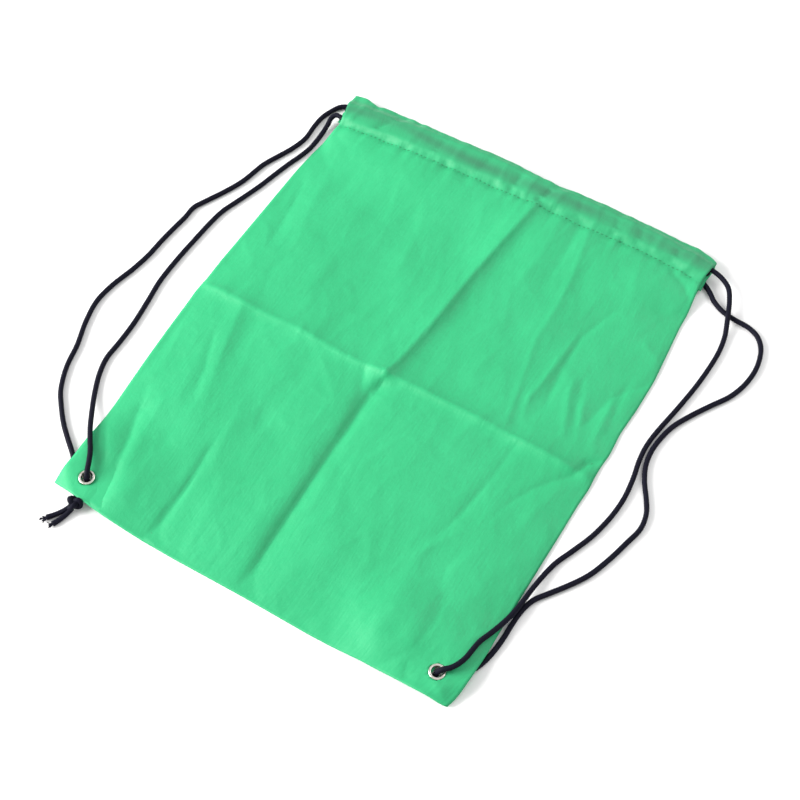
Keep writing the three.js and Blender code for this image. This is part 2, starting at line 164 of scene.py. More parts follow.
# Cord routes: the middle of the cord. They repeat the CAD's, apart from the stretches inside the channels,
# heights of up to 1 mm by the eyelets, three points of the right cord's back strand, and the left ends below.
LEFT_CORD = [
    (-145.5, -208.6, 2.2), (-146.3, -205.8, 2.3), (-147.3, -203.3, 2.75), (-148.2, -201.2, 4.2),
    (-148.8, -199.9, 7.2), (-149.5, -198.5, 9.7), (-150.6, -196.2, 11), (-152.4, -192.3, 11.3),
    (-154.6, -188, 11.2),
    (-158.5, -181.5, 10.7), (-164.2, -174, 9.9), (-168, -169, 9), (-172.3, -163, 7.8), (-179, -152.5, 5.4),
    (-185.7, -141.5, 3.3), (-191, -131.5, 2.3), (-196, -120, 2.2), (-200, -105, 2.2), (-200, -87, 2.2),
    (-200.5, -68, 2.2), (-203, -45, 2.2), (-206, -22, 2.2), (-206, 6, 2.2), (-205, 25, 2.2),
    (-203.5, 47, 2.2), (-201.5, 61, 2.2), (-197, 75, 2.2), (-193, 87, 2.2), (-189, 100, 2.2),
    (-185, 116, 2.2), (-181, 131, 2.2), (-177.5, 142, 2.2), (-175, 153, 2.2), (-174.5, 163, 2.2),
    (-174.5, 172, 2.6), (-174.8, 181, 4), (-175, 188, 6.2), (-172, 191, 8), (-165, 190, 8.7),
    (-150, 190, 9.3), (-120, 193, 10.3), (-80, 195, 11.2), (-40, 196, 11.8), (0, 198, 12), (40, 200, 11.8),
    (80, 201, 11.2), (120, 202, 10.3), (145, 202, 9.5), (157, 201.5, 9), (163.5, 202, 8.4),
    (167, 203, 7.4), (168, 204.5, 6.2), (167, 206, 4.8), (163.5, 207.5, 3.5), (157, 208, 3),
    (130, 208, 3), (65, 208, 3), (0, 208, 3), (-65, 208, 3), (-130, 208, 3), (-158, 208, 3),
    (-168, 208, 3), (-176, 204.5, 2.6), (-181, 196, 2.2), (-184, 186, 2.2), (-184.5, 175, 2.2),
    (-184, 160, 2.2), (-187.5, 146, 2.2), (-193.5, 132, 2.2), (-199, 119, 2.2), (-204.5, 95, 2.2),
    (-211.5, 78, 2.2), (-218.5, 64, 2.2), (-224, 52, 2.2), (-224.5, 40, 2.2), (-226, 27, 2.2),
    (-227.5, 11, 2.2), (-228.5, -7, 2.2), (-231.5, -25, 2.2), (-236.5, -46, 2.2), (-238, -65, 2.2),
    (-234, -85, 2.2), (-227, -106, 2.2), (-222, -127, 2.2), (-213.5, -146, 2.2), (-205, -157, 2.2),
    (-194, -169, 2.2), (-183, -178.5, 2.2), (-172.5, -187, 2.2), (-163, -196, 2.2), (-156.5, -203.5, 2.2),
    (-153.5, -207.5, 2.2),
]
RIGHT_CORD = [
    (122.3, -190.8, 2.2), (128.5, -195.3, 2.2), (137, -202.5, 2.2), (146.4, -206.6, 2.2),
    (150.2, -205.5, 2.35), (151.8, -204, 2.75), (153, -202.2, 4.2), (153.6, -201.1, 7.2),
    (154.9, -200.1, 9.5), (157.3, -198, 11), (160, -195.8, 11.3), (163, -191.5, 11.3), (166, -183.3, 10.9),
    (167, -174.5, 10.1), (168, -167, 9.4), (171, -158, 8.4), (174, -148.4, 7.3), (177, -136, 6.3),
    (178.5, -124, 5.5), (179.4, -111, 4.2), (181, -97, 2.9), (184, -82, 2.2),
    (190, -67, 2.2), (197, -48, 2.2), (201.5, -26, 2.2), (202.5, -8, 2.2), (200.5, 11, 2.2),
    (198, 24, 2.2), (196.7, 37, 2.2), (197.2, 48, 2.2), (198.8, 60, 2.2), (201.5, 76, 2.2),
    (204.5, 96, 2.2), (206.5, 114, 2.2), (207.5, 136, 2.2), (207, 148, 2.2), (205, 160, 2.7),
    (202, 169, 4.6), (199, 177, 6.5), (194.5, 189, 6.6), (188.5, 199.5, 7), (180, 205, 7.8),
    (170, 207.5, 8.6), (158, 209, 9), (140, 211.5, 9.7), (105, 213, 10.7), (60, 213, 11.6), (20, 210.5, 12),
    (-20, 213, 12), (-60, 212, 11.6), (-105, 209, 10.7), (-145, 206, 9.5), (-157, 205, 9),
    (-163.5, 204, 8.4), (-167, 203, 7.4), (-168, 201.5, 6.2), (-167, 200, 4.8), (-163.5, 198, 3.5),
    (-157, 197, 3), (-130, 197, 3), (-65, 197, 3), (0, 197, 3), (65, 197, 3), (130, 197, 3),
    (158, 197, 3), (168, 196.5, 3), (176, 192, 2.4), (184, 185, 2.2), (194, 180, 2.2), (204, 178, 2.2),
    (218, 176.5, 2.2), (227, 172.5, 2.2), (233.5, 165, 2.2), (237.5, 154, 2.2), (239, 141, 2.2),
    (237, 125, 2.2), (232, 111, 2.2), (224, 98, 2.2), (214, 81, 2.2), (206, 64, 2.2), (202.6, 48, 2.2),
    (202, 37, 2.2), (204, 24, 2.2), (209.5, 11, 2.2), (217.5, -2, 2.2), (222.5, -12, 2.2),
    (224.5, -25, 2.2), (221, -41, 2.2), (216, -60, 2.2), (209.5, -78, 2.2), (200.5, -93, 2.2),
    (190.5, -107, 2.2), (184.3, -116, 2.2), (181, -127, 2.2), (180, -141, 2.2), (180, -153, 2.2),
    (179, -165, 2.2), (176.8, -176, 2.2), (172.5, -185.5, 2.2), (165, -190.5, 2.2), (155, -189.5, 2.2),
    (143, -187, 2.2), (131, -186, 2.2), (122, -185.8, 2.2),
]
# Each cord's two ends between the bag and the left knot.
LEFT_ENDS = {
    "left_cord_front_end": [(-145.4, -209.1, 2.3), (-145.1, -212, 2.3), (-144.9, -215.5, 2.8),
                            (-144.8, -219, 4)],
    "left_cord_back_end": [(-154, -206.9, 2.3), (-151, -210.5, 2.3), (-148.6, -214.5, 2.8), (-147, -219, 4)],
}


# ---- Small helpers ----
def smooth(start, end, value):
    share = np.clip((value - start) / (end - start), 0, 1)
    return share * share * (3 - 2 * share)


def line_at(points, where):
    """A smooth line through given (place, value) points, read at where."""
    places, values = np.array(points, float).T
    fine = np.linspace(places[0], places[-1], 400)
    raw = np.interp(fine, places, values)
    window = 15
    kernel = np.hanning(window)
    padded = np.pad(raw, window // 2, mode="edge")
    return np.interp(where, fine, np.convolve(padded, kernel / kernel.sum(), mode="valid"))


def noise_at(x, y, size, seed):
    """Smooth noise from -1 to 1 whose lumps are about size across."""
    flat = [noise.noise(Vector((a / size, b / size, seed))) for a, b in zip(x.ravel(), y.ravel())]
    return np.array(flat).reshape(x.shape)


def along_polyline(points, values, x, y):
    """The value at each place's nearest point on a line, and its distance, positive to the left."""
    best = np.full(x.shape, 1e9)
    value = np.zeros(x.shape)
    signed = np.zeros(x.shape)
    for (ax, ay), (bx, by), start, end in zip(points, points[1:], values, values[1:]):
        dx, dy = bx - ax, by - ay
        share = np.clip(((x - ax) * dx + (y - ay) * dy) / (dx * dx + dy * dy), 0, 1)
        far_x, far_y = x - ax - share * dx, y - ay - share * dy
        distance = np.hypot(far_x, far_y)
        nearer = distance < best
        best = np.where(nearer, distance, best)
        value = np.where(nearer, start + (end - start) * share, value)
        side = np.sign(dx * far_y - dy * far_x)
        signed = np.where(nearer, distance * side, signed)
    return value, signed


def fold_height(fold, x, y):
    points, heights, left, right = fold
    value, signed = along_polyline(points, heights, x, y)
    width = np.where(signed > 0, left, right)
    return value * np.exp(-((np.abs(signed) / width) ** 1.1))


def lift(x, y):
    """How high the cloth is held by the cord ends, the knot and the eyelets under the bottom corners."""
    corners = []
    for cx, cy in EYELETS.values():
        outward = (np.abs(x) - abs(cx) + cy - y) / math.sqrt(2)
        droop = 1 - 0.75 * smooth(11, 27, outward)
        corners.append(CORNER_LIFT * (1 - smooth(16, 72, np.hypot(x - cx, y - cy))) * droop)
    knot = 6.6 * (1 - smooth(6, 52, np.hypot(x - RIGHT_KNOT[0], y - RIGHT_KNOT[1])))
    return np.maximum.reduce(corners + [knot])


def back_rise(y):
    return BACK_RISE * smooth(150, BACK_SEAM_Y, y)


# ---- Meshes ----
def make_mesh(name, points, faces, material, smooth_faces=True, uv=None):
    mesh = bpy.data.meshes.new(name)
    mesh.from_pydata([tuple(p) for p in np.asarray(points) * MM], [], [list(map(int, f)) for f in faces])
    mesh.materials.append(material)
    if smooth_faces:
        mesh.polygons.foreach_set("use_smooth", [True] * len(mesh.polygons))
    if uv is not None:
        layer = mesh.uv_layers.new(name="flat_mm")
        corners = np.array([loop.vertex_index for loop in mesh.loops])
        layer.data.foreach_set("uv", np.asarray(uv, float)[corners].ravel())
    obj = bpy.data.objects.new(name, mesh)
    bpy.context.collection.objects.link(obj)
    return obj


def grid_faces(rows, columns, keep):
    index = np.arange(rows * columns).reshape(rows, columns)
    faces = np.stack([index[:-1, :-1], index[:-1, 1:], index[1:, 1:], index[1:, :-1]], -1)
    return faces.reshape(-1, 4)[keep.ravel()]


def grid_normals(surface):
    across = np.gradient(surface, axis=1)
    along = np.gradient(surface, axis=0)
    normal = np.cross(across, along)
    return normal / np.linalg.norm(normal, axis=-1, keepdims=True)


def thick_sheet(name, surface, flat, material, keep, inward, shade=None):
    """A closed sheet from its outer surface, a grid of points.

    flat holds each point's place in the cloth, and shade how much painted shade darkens it, standing in for a
    dark cord seen through the cloth and the channel's shaded side.
    """
    rows, columns = surface.shape[:2]
    outer = surface.reshape(-1, 3)
    inner = (surface - inward * CLOTH * grid_normals(surface)).reshape(-1, 3)
    faces = grid_faces(rows, columns, keep)
    count = len(outer)
    starts = faces.ravel()
    ends = np.roll(faces, -1, axis=1).ravel()
    rim = ~np.isin(starts * count + ends, ends * count + starts)
    walls = np.stack([ends[rim], starts[rim], starts[rim] + count, ends[rim] + count], -1)
    both = np.concatenate([faces, faces[:, ::-1] + count, walls])
    if inward < 0:
        both = both[:, ::-1]
    points = np.concatenate([outer, inner])
    used = np.unique(both)
    new_index = np.full(len(points), -1)
    new_index[used] = np.arange(len(used))
    uv = np.concatenate([flat.reshape(-1, 2)] * 2)[used]
    obj = make_mesh(name, points[used], new_index[both], material, uv=uv)
    # the painted shade is stored as the 'through' attribute, which the cloth's material reads
    if shade is not None:
        values = np.concatenate([shade.ravel()] * 2)[used]
        obj.data.attributes.new("through", "FLOAT", "POINT").data.foreach_set("value", values)
    return obj


def catmull_rom(points, step):
    """Points about step apart on a smooth line through the given ones."""
    knots = np.array(points, float)
    padded = np.vstack([2 * knots[0] - knots[1], knots, 2 * knots[-1] - knots[-2]])
    dense = []
    for p0, p1, p2, p3 in zip(padded, padded[1:], padded[2:], padded[3:]):
        d01 = max(np.linalg.norm(p1 - p0), 1e-6) ** 0.5
        d12 = max(np.linalg.norm(p2 - p1), 1e-6) ** 0.5
        d23 = max(np.linalg.norm(p3 - p2), 1e-6) ** 0.5
        m1 = (p2 - p1) + d12 * ((p1 - p0) / d01 - (p2 - p0) / (d01 + d12))
        m2 = (p2 - p1) + d12 * ((p3 - p2) / d23 - (p3 - p1) / (d12 + d23))
        for t in np.linspace(0, 1, 24, endpoint=False):
            h = (2 * t**3 - 3 * t**2 + 1, t**3 - 2 * t**2 + t, -2 * t**3 + 3 * t**2, t**3 - t**2)
            dense.append(h[0] * p1 + h[1] * m1 + h[2] * p2 + h[3] * m2)
    dense.append(knots[-1])
    dense = np.array(dense)
    travelled = np.concatenate([[0], np.cumsum(np.linalg.norm(np.diff(dense, axis=0), axis=1))])
    wanted = np.linspace(0, travelled[-1], max(2, round(travelled[-1] / step) + 1))
    return np.stack([np.interp(wanted, travelled, dense[:, i]) for i in range(3)], -1)


def frames_along(line):
    """Two unit directions across the line at each of its points, turning as little as possible."""
    tangent = np.gradient(line, axis=0)
    tangent /= np.linalg.norm(tangent, axis=1, keepdims=True)
    side = np.cross(tangent[0], (0, 0, 1))
    if np.linalg.norm(side) < 0.1:
        side = np.cross(tangent[0], (0, 1, 0))
    sides = []
    for t in tangent:
        side = side - t * side.dot(t)
        side = side / np.linalg.norm(side)
        sides.append(side)
    sides = np.array(sides)
    return sides, np.cross(tangent, sides)


def tube(line, radii, sides, braid=0.0):
    """(points, faces) of a closed tube. braid raises the crossing strands of a braided cord."""
    side, up = frames_along(line)
    travelled = np.concatenate([[0], np.cumsum(np.linalg.norm(np.diff(line, axis=0), axis=1))])
    turn = 2 * math.pi * np.arange(sides) / sides
    advance = 2 * math.pi * travelled[:, None] / BRAID_PITCH * 2
    right_handed = np.sin(BRAID_STRANDS * turn[None, :] + advance)
    left_handed = np.sin(BRAID_STRANDS * turn[None, :] - advance)
    radius = np.broadcast_to(radii, (len(line),))[:, None] * (1 + braid * right_handed * left_handed)
    ring = side[:, None] * np.cos(turn)[None, :, None] + up[:, None] * np.sin(turn)[None, :, None]
    points = (line[:, None] + ring * radius[..., None]).reshape(-1, 3)
    index = np.arange(len(line) * sides).reshape(len(line), sides)
    after = np.roll(index, -1, axis=1)
    quads = np.stack([index[:-1], after[:-1], after[1:], index[1:]], -1).reshape(-1, 4)
    caps = [list(index[0][::-1]), list(index[-1])]
    return points, [list(q) for q in quads] + caps


def joined(parts):
    """Several (points, faces) as one."""
    points, faces, start = [], [], 0
    for its_points, its_faces in parts:
        points.append(its_points)
        faces += [[i + start for i in f] for f in its_faces]
        start += len(its_points)
    return np.concatenate(points), faces


# ---- Materials ----
def new_material(name, color, roughness, **inputs):
    material = bpy.data.materials.new(name)
    material.use_nodes = True
    shader = material.node_tree.nodes["Principled BSDF"]
    shader.inputs["Base Color"].default_value = (*color, 1)
    shader.inputs["Roughness"].default_value = roughness
    for key, value in inputs.items():
        shader.inputs[key.replace("_", " ")].default_value = value
    return material, material.node_tree.nodes, material.node_tree.links, shader


def ramp_node(nodes, stops):
    ramp = nodes.new("ShaderNodeValToRGB")
    elements = ramp.color_ramp.elements
    while len(elements) < len(stops):
        elements.new(0.5)
    for element, (at, color) in zip(elements, stops):
        element.position = at
        element.color = (*color, 1)
    return ramp


def noise_node(nodes, links, coordinates, scale, detail):
    made = nodes.new("ShaderNodeTexNoise")
    made.inputs["Scale"].default_value = scale
    made.inputs["Detail"].default_value = detail
    links.new(coordinates, made.inputs["Vector"])
    return made.outputs["Fac"]


def wave_node(nodes, links, coordinates, scale, direction, distortion=0.0):
    made = nodes.new("ShaderNodeTexWave")
    made.bands_direction = direction
    made.inputs["Scale"].default_value = scale
    made.inputs["Distortion"].default_value = distortion
    links.new(coordinates, made.inputs["Vector"])
    return made.outputs["Fac"]


def math_node(nodes, links, operation, first, second):
    made = nodes.new("ShaderNodeMath")
    made.operation = operation
    for socket, value in zip(made.inputs, (first, second)):
        if isinstance(value, (int, float)):
            socket.default_value = value
        else:
            links.new(value, socket)
    return made.outputs[0]


def bump_node(nodes, links, height, distance, strength, before=None):
    made = nodes.new("ShaderNodeBump")
    made.inputs["Distance"].default_value = distance
    made.inputs["Strength"].default_value = strength
    links.new(height, made.inputs["Height"])
    if before is not None:
        links.new(before, made.inputs["Normal"])
    return made.outputs["Normal"]


def cloth_material():
    """Plain-woven coated polyester: a soft sheen, fine crossing yarns and faint crumple marks."""
    material, nodes, links, shader = new_material(
        "green_polyester", (0.033, 0.37, 0.16), 0.5, Sheen_Weight=0.06, Sheen_Roughness=0.35,
        Specular_IOR_Level=0.3)
    uv = nodes.new("ShaderNodeUVMap")
    uv.uv_map = "flat_mm"
    place = uv.outputs["UV"]
    warp = wave_node(nodes, links, place, 0.62, "X")
    weft = wave_node(nodes, links, place, 0.55, "Y")
    yarns = math_node(nodes, links, "MULTIPLY", warp, weft)
    slubs = noise_node(nodes, links, place, 0.35, 4)
    crumple = noise_node(nodes, links, place, 0.09, 5)
    blotches = noise_node(nodes, links, place, 0.018, 3)
    mixed = math_node(nodes, links, "ADD", math_node(nodes, links, "MULTIPLY", slubs, 0.3),
                      math_node(nodes, links, "MULTIPLY", blotches, 0.7))
    colours = ramp_node(nodes, [(0.3, (0.024, 0.365, 0.147)), (0.52, (0.027, 0.39, 0.16)),
                                (0.75, (0.031, 0.415, 0.174))])
    links.new(mixed, colours.inputs["Fac"])
    # Painted shade: the 'through' attribute mixes in a dark green where the channel's bulge is shaded and the
    # cords show through the cloth
    through = nodes.new("ShaderNodeAttribute")
    through.attribute_name = "through"
    darker = nodes.new("ShaderNodeMixRGB")
    darker.inputs["Color2"].default_value = (0.036, 0.19, 0.098, 1)
    amount = math_node(nodes, links, "MULTIPLY", through.outputs["Fac"], 0.62)
    links.new(amount, darker.inputs["Fac"])
    links.new(colours.outputs["Color"], darker.inputs["Color1"])
    links.new(darker.outputs["Color"], shader.inputs["Base Color"])
    roughness = ramp_node(nodes, [(0.3, (0.4, 0.4, 0.4)), (0.7, (0.56, 0.56, 0.56))])
    links.new(crumple, roughness.inputs["Fac"])
    links.new(roughness.outputs["Color"], shader.inputs["Roughness"])
    stretched = nodes.new("ShaderNodeMapping")
    stretched.inputs["Scale"].default_value = (1, 0.09, 1)
    links.new(place, stretched.inputs["Vector"])
    streaks = noise_node(nodes, links, stretched.outputs["Vector"], 0.6, 4)
    normal = bump_node(nodes, links, crumple, 0.0011, 0.3)
    normal = bump_node(nodes, links, streaks, 0.0004, 0.5, normal)
    normal = bump_node(nodes, links, slubs, 0.0003, 0.5, normal)
    normal = bump_node(nodes, links, yarns, 0.00008, 0.6, normal)
    links.new(normal, shader.inputs["Normal"])
    return material


def cord_material():
    """Dark navy braided polyester cord."""
    material, nodes, links, shader = new_material(
        "navy_braid", (0.0035, 0.0035, 0.010), 0.7, Sheen_Weight=0.02, Sheen_Roughness=0.4,
        Specular_IOR_Level=0.12)
    where = nodes.new("ShaderNodeTexCoord").outputs["Object"]
    fibres = noise_node(nodes, links, where, 1400, 2)
    colours = ramp_node(nodes, [(0.35, (0.002, 0.002, 0.007)), (0.7, (0.006, 0.006, 0.017))])
    links.new(fibres, colours.inputs["Fac"])
    links.new(colours.outputs["Color"], shader.inputs["Base Color"])
    links.new(bump_node(nodes, links, fibres, 0.0003, 0.6), shader.inputs["Normal"])
    return material


def thread_material():
    """Spun sewing thread, a little darker than the cloth."""
    material, nodes, links, shader = new_material("green_thread", (0.02, 0.25, 0.11), 0.6)
    where = nodes.new("ShaderNodeTexCoord").outputs["Object"]
    ply = wave_node(nodes, links, where, 900, "DIAGONAL", 1.0)
    colours = ramp_node(nodes, [(0.2, (0.013, 0.17, 0.07)), (0.8, (0.025, 0.28, 0.12))])
    links.new(ply, colours.inputs["Fac"])
    links.new(colours.outputs["Color"], shader.inputs["Base Color"])
    links.new(bump_node(nodes, links, ply, 0.0001, 0.6), shader.inputs["Normal"])
    return material


def eyelet_material():
    """Nickel-plated brass with fine rub marks."""
    material, nodes, links, shader = new_material("nickel_plate", (0.82, 0.79, 0.72), 0.24, Metallic=1.0)
    where = nodes.new("ShaderNodeTexCoord").outputs["Object"]
    rubs = noise_node(nodes, links, where, 650, 4)
    colours = ramp_node(nodes, [(0.35, (0.74, 0.7, 0.62)), (0.65, (0.88, 0.86, 0.8))])
    links.new(rubs, colours.inputs["Fac"])
    links.new(colours.outputs["Color"], shader.inputs["Base Color"])
    roughness = ramp_node(nodes, [(0.3, (0.16, 0.16, 0.16)), (0.7, (0.34, 0.34, 0.34))])
    links.new(rubs, roughness.inputs["Fac"])
    links.new(roughness.outputs["Color"], shader.inputs["Roughness"])
    links.new(bump_node(nodes, links, rubs, 0.00015, 0.4), shader.inputs["Normal"])
    return material


# ---- Panels ----
def outline(share, y):
    """The bag's x at that share of the way across, -1 at the left side and 1 at the right."""
    left, right = line_at(LEFT_SIDE, y), line_at(RIGHT_SIDE, y)
    return left + (right - left) * (share + 1) / 2


def front_height(share, x, y, seam_y):
    """The front panel's outer face below its channel."""
    flat = back_rise(y) + 1.5
    pinch = np.minimum.reduce([smooth(9, 30, np.hypot(x - cx, y - cy)) for cx, cy in EYELETS.values()])
    closed = np.where(y < 0, 1 - np.abs(y / CLOSED_Y) ** 7, 1)
    body = flat + CROWN * (1 - np.abs(share) ** 7) * closed * pinch
    mouth = SIDE_MOUTH + MOUTH_RISE * (1 - share**2)
    opened = smooth(112 + 48 * share**4, seam_y, y)
    return body * (1 - opened) + mouth * opened + lift(x, y)


def wrinkles(share, x, y, seam_y):
    """The front panel's folds and its general unevenness."""
    height = sum(fold_height(fold, x, y) for fold in FOLDS)
    warp_x = x + 9 * noise_at(x, y, 60, 3.1)
    warp_y = y + 9 * noise_at(x, y, 60, 7.7)
    height = height + 0.8 * noise_at(warp_x, warp_y * 0.6, 55, 1.3)
    height += 0.55 * noise_at(warp_x * 1.2, warp_y * 0.45, 22, 5.2)
    ridged = 1 - np.abs(noise_at(warp_x, warp_y * 0.5, 16, 9.4)) * 2.2
    height += 0.28 * np.clip(ridged, 0, 1) ** 2
    height -= 1.5 * np.abs(noise_at(warp_x * 1.3, warp_y * 0.7, 75, 12.7))
    height += 1.0 * np.abs(noise_at(warp_x + 0.5 * warp_y, warp_y * 0.8, 58, 17.1))
    height += 0.1 * noise_at(x, y, 6.5, 2.6)
    near_seam = np.exp(-np.abs(seam_y - y) / 9)
    height += 1.3 * noise_at(x, y * 0.25, 6.5, 4.4) * near_seam
    to_edge = np.minimum(1 - np.abs(share), (y - BOTTOM_Y) / HALF_WIDTH)
    return height * (0.25 + 0.75 * smooth(0, 0.035, to_edge))


def front_run(cord):
    """The stretch of a cord that lies in the front channel, from left to right."""
    lowest_z, lowest_y, widest_x = 8.3, 180, 171
    inside = [(x, y, z) for x, y, z in cord if z > lowest_z and y > lowest_y and abs(x) < widest_x]
    return np.array(sorted(inside)).T


def body_surface(columns):
    """The front panel's outer face, from the bottom edge up to the channel's seam."""
    rows = np.linspace(0, 1, int(BODY_LENGTH / STEP))
    share = np.broadcast_to(columns, (len(rows), len(columns)))
    seam_y = line_at(STITCH_LINE, share * HALF_WIDTH)
    bottom = line_at(BOTTOM_SIDE, share * HALF_WIDTH)
    y = bottom + (seam_y - bottom) * rows[:, None]
    x = outline(share, y)
    z = front_height(share, x, y, seam_y) + wrinkles(share, x, y, seam_y)
    seam_dip = 0.9 * np.exp(-(((seam_y - y) / 1.8) ** 2))
    return np.stack([x, y, np.maximum(z - seam_dip, 0.9)], -1)


def channel_height(x, y, base, t):
    """The front channel's outer face: raised over both cords, bunched and puckered. t is 0 at its seam."""
    cord_heights, cord_lines = [], []
    for cord in (LEFT_CORD, RIGHT_CORD):
        run_x, run_y, run_z = front_run(cord)
        cord_heights.append(np.interp(x, run_x, run_z))
        cord_lines.append(np.interp(x, run_x, run_y))
    beyond = np.maximum(np.minimum(*cord_lines) - y, y - np.maximum(*cord_lines))
    bunch = 0.5 * noise_at(x, y * 0.3, 24, 6.1)
    bulge = np.maximum(*cord_heights) + 3.0 + bunch - base
    bulge = bulge * np.exp(-((np.maximum(beyond, 0) / 6.0) ** 2)) * smooth(0, 0.25, t)
    z = base + np.maximum(bulge, 0)
    z += 0.45 * noise_at(x, y * 0.4, 8, 8.8) * np.sin(math.pi * t) ** 0.5
    for at_seam, at_mouth, height in PUCKERS:
        middle = at_seam + (at_mouth - at_seam) * t
        pucker = np.exp(-((np.abs(x - middle) / 3.0) ** 1.4)) * smooth(0, 0.2, t)
        z = z + 0.8 * height * pucker * (1 - 0.6 * smooth(0.7, 1, t))
    for cord_z, cord_y in zip(cord_heights, cord_lines):
        clear = np.sqrt(np.maximum((CORD_R + 0.7) ** 2 - (y - cord_y) ** 2, 0))
        z = np.where(clear > 0, np.maximum(z, cord_z + clear), z)
    return z


def channel_shade(x, y):
    """How much painted shade darkens the front channel's outer face: all over for the cords seen through it,
    most along its bulge's shaded side.
    """
    shade_strength = 0.85 + 0.7 * noise_at(x, y * 0.5, 26, 21.5)
    from_band = y - line_at(SHADE_BAND, x)
    return CHANNEL_SHADE + np.clip(shade_strength, 0, 1.2) * np.exp(-((from_band / 5.5) ** 2))


def front_channel(body, columns):
    """The front channel: over the cords, round the mouth's edge, and back down inside to the seam."""
    seam_x, seam_z = body[-1, :, 0], body[-1, :, 2]
    seam_line = line_at(STITCH_LINE, columns * HALF_WIDTH)
    mouth_line = line_at(MOUTH_LINE, columns * HALF_WIDTH)
    t = np.linspace(0, 1, 24)[1:, None]
    over_y = seam_line + (mouth_line - seam_line) * t
    over_x = outline(np.broadcast_to(columns, over_y.shape), over_y)
    base = seam_z + 0.5 * smooth(0, 0.1, t) - 1.2 * smooth(0.6, 1, t)
    over_z = channel_height(over_x, over_y, base, t)

    turn = np.linspace(0, math.pi, 8)[1:, None]
    edge_r = (over_z[-1] - (seam_z - 3.2)) / 2
    fold_y = over_y[-1] + 2.6 * np.sin(turn)
    fold_z = over_z[-1] - edge_r * (1 - np.cos(turn))
    fold_x = np.broadcast_to(over_x[-1], fold_y.shape)

    s = np.linspace(0, 1, 18)[1:, None]
    under_y = fold_y[-1] + (seam_line + 1.2 - fold_y[-1]) * s
    under_z = fold_z[-1] + (seam_z - 0.9 - fold_z[-1]) * smooth(0.62, 1, s)
    under_x = np.broadcast_to(over_x[-1], under_y.shape) * (1 - s) + seam_x * s
    return (np.stack([over_x, over_y, over_z], -1), np.stack([fold_x, fold_y, fold_z], -1),
            np.stack([under_x, under_y, under_z], -1))


def places_in_cloth(surface, columns, measured_column):
    """Each point's place in the flat cloth, whose length is measured along one column."""
    steps = np.linalg.norm(np.diff(surface[:, measured_column], axis=0), axis=1)
    flat_y = np.concatenate([[0], np.cumsum(steps)])
    return np.stack([np.broadcast_to(columns * HALF_WIDTH, surface.shape[:2]),
                     np.broadcast_to(flat_y[:, None], surface.shape[:2])], -1)


def outside_holes(surface, radius):
    """Which faces of a panel stay when its two eyelet holes are cut."""
    middle = (surface[:-1, :-1] + surface[1:, 1:]) / 2
    keep = np.ones(middle.shape[:2], bool)
    for cx, cy in EYELETS.values():
        keep &= np.hypot(middle[..., 0] - cx, middle[..., 1] - cy) > radius
    return keep


def front_panel(material):
    """The front cloth, and the grid of points of its face below the channel."""
    columns = np.arange(-1, 1 + 1e-9, STEP / HALF_WIDTH)
    body = body_surface(columns)
    over, fold, under = front_channel(body, columns)
    surface = np.concatenate([body, over, fold, under])
    # painted shade on the channel's layers, strongest in a band over the cords
    shade = np.zeros(surface.shape[:2])
    shade[len(body):] = CHANNEL_SHADE
    shade[len(body):len(body) + len(over)] = channel_shade(over[..., 0], over[..., 1])
    flat = places_in_cloth(surface, columns, MEASURED_COLUMN)
    keep = outside_holes(surface, FRONT_HOLE_R)
    return thick_sheet("front_cloth", surface, flat, material, keep, 1, shade), body


def back_panel(material):
    columns = np.arange(-1, 1 + 1e-9, 2 * STEP / HALF_WIDTH)
    rows = np.linspace(0, 1, int(BODY_LENGTH / (2 * STEP)))
    share = np.broadcast_to(columns, (len(rows), len(columns)))
    bottom = line_at(BOTTOM_SIDE, share * HALF_WIDTH) + 0.4
    y = bottom + (BACK_SEAM_Y - bottom) * rows[:, None]
    x = outline(share, y) * 0.999
    z = 0.15 + back_rise(y) + np.maximum(lift(x, y) - 0.5, 0)
    z = z + 0.35 * (1 + noise_at(x, y * 0.6, 30, 12.5)) * smooth(0, 0.1, 1 - np.abs(share))
    body = np.stack([x, y, z], -1)

    t = np.linspace(0, 1, 20)[1:, None]
    seam_z = z[-1]
    over_y = np.broadcast_to(BACK_SEAM_Y + BACK_CHANNEL * t, (len(t), len(columns)))
    over_x = outline(np.broadcast_to(columns, over_y.shape), over_y)
    over_z = seam_z - 2.3 * smooth(0, 0.2, t) + 0.25 * noise_at(over_x, over_y * 0.3, 12, 14.1)
    over_z = np.maximum(over_z, 0.12)
    turn = np.linspace(0, math.pi, 8)[1:, None]
    fold_y = over_y[-1] + 2.2 * np.sin(turn)
    fold_z = over_z[-1] + BACK_EDGE_R * (1 - np.cos(turn))
    s = np.linspace(0, 1, 18)[1:, None]
    under_y = fold_y[-1] + (BACK_SEAM_Y + 1.2 - fold_y[-1]) * s
    under_z = fold_z[-1] + (seam_z + 0.9 - fold_z[-1]) * smooth(0.6, 1, s)
    parts = [body, np.stack([over_x, over_y, over_z], -1)]
    for its_y, its_z in ((fold_y, fold_z), (under_y, under_z)):
        parts.append(np.stack([np.broadcast_to(over_x[-1], its_y.shape), its_y, its_z], -1))
    surface = np.concatenate(parts)
    flat = places_in_cloth(surface, columns, MEASURED_COLUMN // 2)
    keep = outside_holes(surface, BACK_HOLE_R)
    return thick_sheet("back_cloth", surface, flat, material, keep, -1)


# ---- Stitches ----
def stitch_row(name, path, material, length=2.7, pitch=3.9):
    """A row of separate stitches along a path that lies on the cloth."""
    line = catmull_rom(path, 0.5)
    per_stitch, per_pitch = round(length / 0.5), round(pitch / 0.5)
    parts = []
    for start in range(0, len(line) - per_stitch, per_pitch):
        piece = line[start:start + per_stitch + 1].copy()
        bow = np.sin(np.linspace(0, math.pi, len(piece)))
        piece[:, 2] += 0.22 * bow - 0.12
        radii = 0.1 + 0.22 * bow**0.5
        parts.append(tube(piece, radii, 8))
    points, faces = joined(parts)
    return make_mesh(name, points, faces, material)


